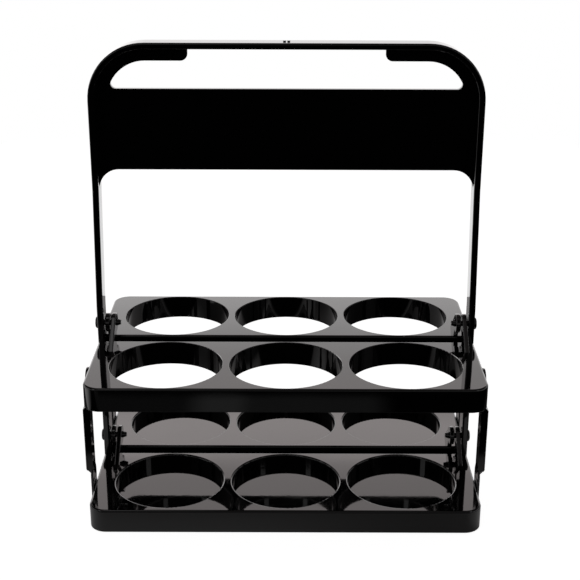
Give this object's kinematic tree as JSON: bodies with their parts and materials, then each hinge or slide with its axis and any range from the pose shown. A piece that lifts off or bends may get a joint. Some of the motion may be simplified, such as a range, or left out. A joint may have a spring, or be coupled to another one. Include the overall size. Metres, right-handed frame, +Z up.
{
  "type": "bottle caddy",
  "caption": "Folding black plastic bottle carrier: a handle frame with hinged upper and lower trays of round bottle bays that fold up flat against it on side links.",
  "frame": {"origin": "on the floor under the middle of the carrier", "axes": "+Z up along the legs to the handle, +X along the handle bar, front towards -Y"},
  "size_m": [0.2594, 0.1648, 0.2971],
  "materials": {
    "frame_plastic": "gloss moulded black",
    "tray_plastic": "gloss moulded black",
    "link_plastic": "gloss moulded black",
    "pin_plastic": "satin moulded black"
  },
  "bodies": {
    "frame": {"handle_frame": "frame_plastic", "left_upper_hinge_pin": "pin_plastic", "right_upper_hinge_pin": "pin_plastic", "left_lower_hinge_pin": "pin_plastic", "right_lower_hinge_pin": "pin_plastic"},
    "front_lower": {"front_lower_tray": "tray_plastic", "front_left_lower_link_pin": "pin_plastic", "front_right_lower_link_pin": "pin_plastic"},
    "front_upper": {"front_upper_tray": "tray_plastic", "front_left_upper_link_pin": "pin_plastic", "front_right_upper_link_pin": "pin_plastic"},
    "rear_lower": {"rear_lower_tray": "tray_plastic", "rear_left_lower_link_pin": "pin_plastic", "rear_right_lower_link_pin": "pin_plastic"},
    "rear_upper": {"rear_upper_tray": "tray_plastic", "rear_left_upper_link_pin": "pin_plastic", "rear_right_upper_link_pin": "pin_plastic"},
    "front_left_link": {"front_left_link": "link_plastic"},
    "front_right_link": {"front_right_link": "link_plastic"},
    "rear_left_link": {"rear_left_link": "link_plastic"},
    "rear_right_link": {"rear_right_link": "link_plastic"}
  },
  "joints": [
    {"name": "front_fold", "type": "hinge", "parent": "frame", "child": "front_lower", "pos_m": [0, 0, 0.0271], "axis": [-1, 0, 0], "range_deg": [0, 90]},
    {"name": "front_upper_fold", "type": "hinge", "parent": "frame", "child": "front_upper", "pos_m": [0, 0, 0.1106], "axis": [-1, 0, 0], "range_deg": [0, 90]},
    {"name": "front_left_link_swing", "type": "hinge", "parent": "front_lower", "child": "front_left_link", "pos_m": [0, -0.047, 0.0078], "axis": [-1, 0, 0], "range_deg": [-90, 0]},
    {"name": "front_right_link_swing", "type": "hinge", "parent": "front_lower", "child": "front_right_link", "pos_m": [0, -0.047, 0.0078], "axis": [-1, 0, 0], "range_deg": [-90, 0]},
    {"name": "rear_fold", "type": "hinge", "parent": "frame", "child": "rear_lower", "pos_m": [0, 0, 0.0271], "axis": [1, 0, 0], "range_deg": [0, 90]},
    {"name": "rear_upper_fold", "type": "hinge", "parent": "frame", "child": "rear_upper", "pos_m": [0, 0, 0.1106], "axis": [1, 0, 0], "range_deg": [0, 90]},
    {"name": "rear_left_link_swing", "type": "hinge", "parent": "rear_lower", "child": "rear_left_link", "pos_m": [0, 0.047, 0.0078], "axis": [1, 0, 0], "range_deg": [-90, 0]},
    {"name": "rear_right_link_swing", "type": "hinge", "parent": "rear_lower", "child": "rear_right_link", "pos_m": [0, 0.047, 0.0078], "axis": [1, 0, 0], "range_deg": [-90, 0]}
  ],
  "couplings": [
    {"joint": "front_upper_fold", "follows": "front_fold", "ratio": 1},
    {"joint": "front_left_link_swing", "follows": "front_fold", "ratio": -1},
    {"joint": "front_right_link_swing", "follows": "front_fold", "ratio": -1},
    {"joint": "rear_upper_fold", "follows": "rear_fold", "ratio": 1},
    {"joint": "rear_left_link_swing", "follows": "rear_fold", "ratio": -1},
    {"joint": "rear_right_link_swing", "follows": "rear_fold", "ratio": -1}
  ]
}
